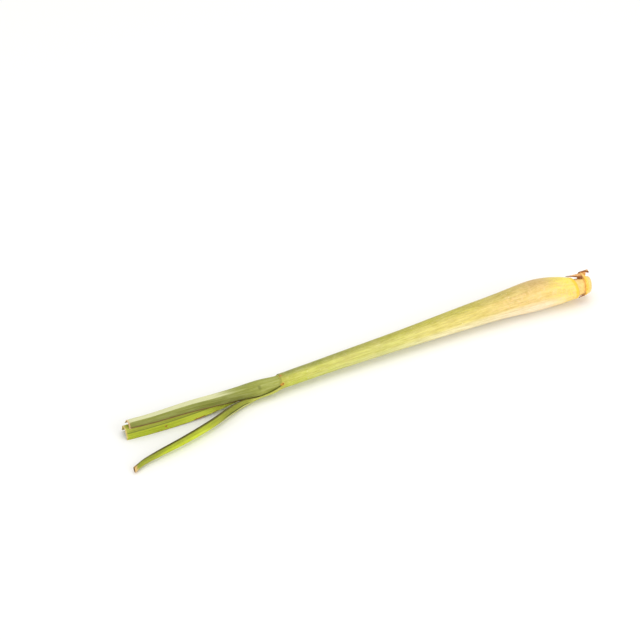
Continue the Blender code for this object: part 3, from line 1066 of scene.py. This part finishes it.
# The cut end and the blade's margins have dried to tan. Inside the rolled cut end, where the wall
# faces the middle of the roll, it is darkened with painted shade.
cut = dry(grain, to_end, 0.0030)
inwards = vectors("SUBTRACT", (-0.1780, -0.0200, 0.0019), place)["Vector"]
faces = node("NewGeometry").outputs["True Normal"]
inside = between(vectors("DOT_PRODUCT", inwards, faces)["Value"], 0.0006, 0.0010)
streaked = layered(
    streaked,
    (cut, 0.85, (226, 184, 124)),
    (inside, fades(to_end, 0.004, 0.010), 0.9, (66, 44, 18)),
    (dry(grain, to_margin, 0.0006), on_blade, 0.5, (96, 70, 30)),
)
height = calc("ADD", veined["Height"], flecked["Height"])
height = calc("ADD", height, times(step_up, 2.5))
dress(streaked, calc("ADD", waxed, cut), (0.40, 0.62), height, 0.45, 0.00014)

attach(outer_leaf, "root")
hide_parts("outer_leaf")

# --- Second leaf ---
# The next leaf in. Its sheath stands in the outer one and its blade arches over, duller and waxier,
# with a crease along the top that makes one narrow pale facet, partly a pale midrib and partly a
# painted highlight, and a brown dry margin on the near side.
NECK_RADIUS = 0.0053
BORE = NECK_RADIUS - THICKNESS
THROAT_DEPTH = 0.0200
SECOND_RADIUS = BORE - 1.3 * GAP
SECOND_FROM, SECOND_END = COLLAR_AT - THROAT_DEPTH + GAP, 0.3480
SECOND_KEEL = -156
SECOND_LINES = (15, 23)
SECOND_SLOPE = 24
SECOND_FOLD = (0.284, 0.36)
SECOND_FLARE = (
    (SECOND_FROM, SECOND_RADIUS),
    (COLLAR_AT - 0.0100, SECOND_RADIUS),
    (COLLAR_AT - 0.0010, SECOND_RADIUS + 0.0001),
    (COLLAR_AT + 0.0060, 0.0048),
    (COLLAR_AT + 0.0130, 0.0055),
    (COLLAR_AT + 0.0200, 0.0056),
)
SECOND_BLADE = (
    (0.2645, 0.0083, 0.01215, 0.0080, 46, 106, 0.0134, -22, 106),
    (0.2710, 0.0083, 0.0123, 0.0072, 52, 94, 0.0130, -16, 96),
    (0.2840, 0.0086, 0.0122, 0.0060, 60, 80, 0.0125, -6, 78),
    (0.3060, 0.0103, 0.0122, 0.0053, 64, 72, 0.0115, 0, 64),
    (0.3320, 0.0106, 0.0121, 0.0044, 64, 70, 0.0108, 4, 58),
    (SECOND_END, 0.0117, 0.0120, 0.0039, 64, 70, 0.0102, 4, 55),
)


def inner_leaf(name, places, keel, lines, slope, rows, folded):
    """A leaf rolled the other way inside the outer one: a sheath up to the second collar, and the
    blade that grows from its rim."""
    leaf = tube(name + "_leaf", places, SHEATH_SIDES)
    round_grain(leaf, keel, -1)
    sheath_lay(leaf, lines, rows[-1][0])
    first = from_rim(SECOND_COLLAR_AT, places[-1][1], keel, lines, slope, 1)
    graft(leaf, blade(name + "_blade", (first, *rows), lines, folded))
    finish(leaf, LEAF_SOFTER, thickened(BLADE_THICKNESS))
    return leaf


second_places = [
    (d, smooth(SECOND_FLARE, d)[0] - BLADE_THICKNESS / 2)
    for d in steps(SECOND_FROM, SECOND_COLLAR_AT, 0.0024)
]
second_leaf = inner_leaf(
    "second", second_places, SECOND_KEEL, SECOND_LINES, SECOND_SLOPE, SECOND_BLADE, SECOND_FOLD
)

grain, _ = skin(second_leaf, "second_skin")
down, across, _ = apart(grain)
share, to_margin, to_end = apart(kept("lay"))
far_side = calc("GREATER_THAN", across, 0.0)
near_side = calc("SUBTRACT", 1.0, far_side)
veined = fibred(grain, 16.0, 620.0)
flecked = fibred(grain, 90.0, 1200.0)
waxed = use(bloom, Grain=grain, Cover=0.75)["Wax"]
dull = coloured_along(
    down,
    (0.2356, 188, 192, 76),
    (0.2535, 160, 165, 60),
    (0.2678, 140, 146, 50),
    (0.3035, 130, 137, 48),
    (0.3463, 124, 130, 46),
)
# The facet on top is pale from where the crease begins, partly a pale midrib and partly a painted
# highlight where the top light falls.
facet = times(far_side, fades(share, 0.34, 0.40))
uneven = calc("ADD", down, times(flecked["Streaks"], 0.006))
pale_and_highlit = mix(times(veined["Veins"], 0.35), (228, 228, 182), (176, 180, 104))
# The near margin has dried to a thin red-brown line.
by_margin = times(between(share, 0.62, 0.85), between(down, 0.285, 0.310))
# At its collar a short dark line crosses the top.
ring = calc("ABSOLUTE", calc("SUBTRACT", down, SECOND_COLLAR_AT))
crossing = within(across, -0.0055, -0.0040, -0.0015, 0.0)
dull = layered(
    dull,
    (veined["Streaks"], 0.5, (180, 185, 88)),
    (flecked["Streaks"], 0.46, (200, 203, 118)),
    (flecked["Veins"], 0.34, (88, 94, 28)),
    (veined["Veins"], 0.34, (92, 98, 26)),
    (waxed, between(down, 0.247, 0.300, 0.22, 0.16), (214, 217, 160)),
    (facet, between(uneven, 0.276, 0.294), 0.9, pale_and_highlit),
    (by_margin, near_side, 0.42, (98, 96, 48)),
    (dry(grain, to_margin, 0.0009), near_side, 0.85, (126, 78, 52)),
    (dry(grain, to_end, 0.0012), 0.85, (226, 184, 140)),
    (dry(grain, ring, 0.0011), crossing, 0.5, (104, 108, 40)),
)
dress(dull, waxed, (0.42, 0.65), veined["Height"], 0.7, 0.00022)

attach(second_leaf, "root")
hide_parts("second_leaf")

# --- Third leaf ---
# The youngest leaf, rolled inside the second. Both halves of its blade hang to the surface, creased
# lengthwise, with a yellow-green strip along the near margin that is partly its own fresh colour
# and partly painted light.
THIRD_RADIUS = 0.00245
THIRD_FROM, THIRD_END = 0.2370 + GAP, 0.3505
THIRD_KEEL = 180
THIRD_LINES = (13, 13)
THIRD_SLOPE = 0
THIRD_FOLD = (0.289, 0.42)
THIRD_BLADE = (
    (0.2650, 0.0107, 0.0090, 0.0042, 40, 98, 0.0040, 16, 94),
    (0.2710, 0.0107, 0.0086, 0.0052, 50, 96, 0.0046, 12, 90),
    (0.2890, 0.0107, 0.0085, 0.0072, 58, 76, 0.0066, 8, 80),
    (0.3080, 0.0107, 0.0082, 0.0082, 60, 72, 0.0088, 8, 76),
    (0.3320, 0.0112, 0.0078, 0.0084, 62, 76, 0.0100, 8, 72),
    (THIRD_END, 0.0126, 0.0074, 0.0081, 62, 76, 0.0103, 8, 68),
)
third_places = [(d, THIRD_RADIUS) for d in steps(THIRD_FROM, SECOND_COLLAR_AT, 0.0036)]
third_leaf = inner_leaf(
    "third", third_places, THIRD_KEEL, THIRD_LINES, THIRD_SLOPE, THIRD_BLADE, THIRD_FOLD
)

grain, place = skin(third_leaf, "third_skin")
down, across, _ = apart(grain)
share, to_margin, to_end = apart(kept("lay"))
near_side = calc("LESS_THAN", across, 0.0)
veined = fibred(grain, 16.0, 700.0)
flecked = fibred(grain, 90.0, 1200.0)
spotted = use(mottling, Place=place, Size=0.006)
# The strip below the crease on the near half is yellow-green, partly its own fresh colour and
# partly painted light, lightest near the throat where the second leaf shades it. The crease itself
# is darkened with painted shade.
lively_and_lit = layered(
    mix(veined["Streaks"], (166, 180, 30), (202, 214, 62)),
    (flecked["Veins"], 0.35, (128, 140, 22)),
    (between(down, 0.292, 0.330, 0.85, 0.0), (226, 238, 84)),
)
# Painted shade darkens the crease.
crease = times(stripe(share, 0.43, 0.02, 0.07), near_side)
# The near margin is rusty in places and scorched over one stretch, and a small scab lies further
# along.
rusty = times(dry(grain, to_margin, 0.0006), spotted["Patches"])
scorched = times(within(down, 0.2965, 0.2985, 0.3040, 0.3060), near_side)
charred = mix(veined["Veins"], (104, 46, 26), (190, 120, 64))
young = layered(
    mix(veined["Streaks"], (164, 172, 50), (196, 202, 78)),
    (veined["Veins"], 0.3, (124, 134, 30)),
    (flecked["Streaks"], 0.35, (206, 214, 104)),
    # Painted light: the blade is lighter near the throat, where the second leaf shades it.
    (between(down, 0.292, 0.320, 0.6, 0.0), (216, 224, 96)),
    (near_side, between(share, 0.42, 0.52), 0.9, lively_and_lit),
    (crease, between(down, 0.275, 0.292), 0.6, (84, 96, 30)),
    (rusty, 0.8, (150, 88, 44)),
    (spotted["Specks"], 0.3, (168, 116, 50)),
    (scorched, dry(grain, to_margin, 0.0014), 0.85, charred),
)
young = freckled(
    place,
    young,
    ((-0.1457, 0.0083, 0.0025), 0.0013, (172, 112, 48)),
    ((-0.1457, 0.0083, 0.0025), 0.0006, (110, 56, 30)),
)
young = layered(young, (dry(grain, to_end, 0.0012), 0.85, (226, 196, 132)))
dress(young, veined["Veins"], (0.45, 0.6), veined["Height"], 0.7, 0.00022)

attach(third_leaf, "root")
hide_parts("third_leaf")

# --- Surface, light and camera ---
# A plain white board that the stalk lies on, soft light from wide panels, and a long lens.
clear()
bpy.ops.mesh.primitive_plane_add(size=4)
board = bpy.context.object
board.name = "white_board"
paint = bpy.data.materials.new("white_board")
paint.use_nodes = True
surface = paint.node_tree.nodes["Principled BSDF"]
surface.inputs["Base Color"].default_value = (0.92, 0.92, 0.91, 1)
surface.inputs["Roughness"].default_value = 0.9
board.data.materials.append(paint)

room = bpy.data.worlds.new("room")
room.use_nodes = True
glow = room.node_tree.nodes["Background"]
glow.inputs["Color"].default_value = (1.0, 0.99, 0.97, 1)
glow.inputs["Strength"].default_value = 0.78
bpy.context.scene.world = room


def panel(name, place, aim, size, power, colour):
    """A square light panel that faces the place it lights."""
    clear()
    bpy.ops.object.light_add(type="AREA", location=place)
    light = bpy.context.object
    light.name = name
    light.data.size = size
    light.data.energy = power
    light.data.color = colour
    light.rotation_euler = (Vector(aim) - Vector(place)).to_track_quat("-Z", "Y").to_euler()


panel("front_panel", (0.30, -0.80, 0.45), (0, 0, 0), 0.7, 3.2, (1.0, 0.98, 0.95))
panel("top_panel", (0, 0.3, 1.8), (0, 0.1, 0), 1.8, 13.0, (1.0, 1.0, 1.0))

bpy.ops.object.camera_add(location=(-0.359515, -0.638805, 0.615661))
camera = bpy.context.object
camera.rotation_euler = (math.radians(52), 0, math.radians(-26.568236))
camera.data.lens = 80
camera.data.sensor_width = 36
bpy.context.scene.camera = camera
bpy.context.scene.view_settings.view_transform = "Standard"
